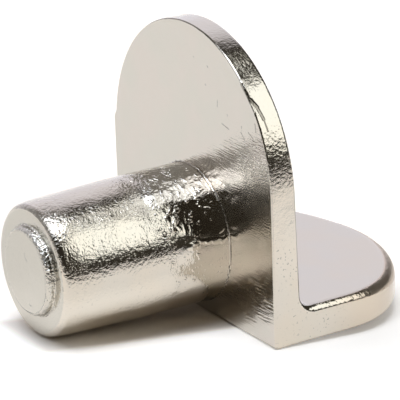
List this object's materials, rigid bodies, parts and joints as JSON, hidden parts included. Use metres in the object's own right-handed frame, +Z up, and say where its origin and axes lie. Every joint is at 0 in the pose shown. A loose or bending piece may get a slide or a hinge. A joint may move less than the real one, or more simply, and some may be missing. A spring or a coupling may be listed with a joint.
{
  "type": "shelf support pin",
  "caption": "Cast metal shelf support pin: a round pin with a raised boss on its end, a plate with an arched top, and a flat ledge with a rounded end.",
  "frame": {"origin": "on the pin's axis, at the plate's seating face", "axes": "-Y out along the pin, +Y out along the ledge, +X along the plate's width, +Z up to the arched top"},
  "size_m": [0.0126, 0.0175, 0.013],
  "materials": {
    "plated_metal": "gloss"
  },
  "bodies": {
    "root": {"shelf_pin": "plated_metal"}
  },
  "joints": []
}
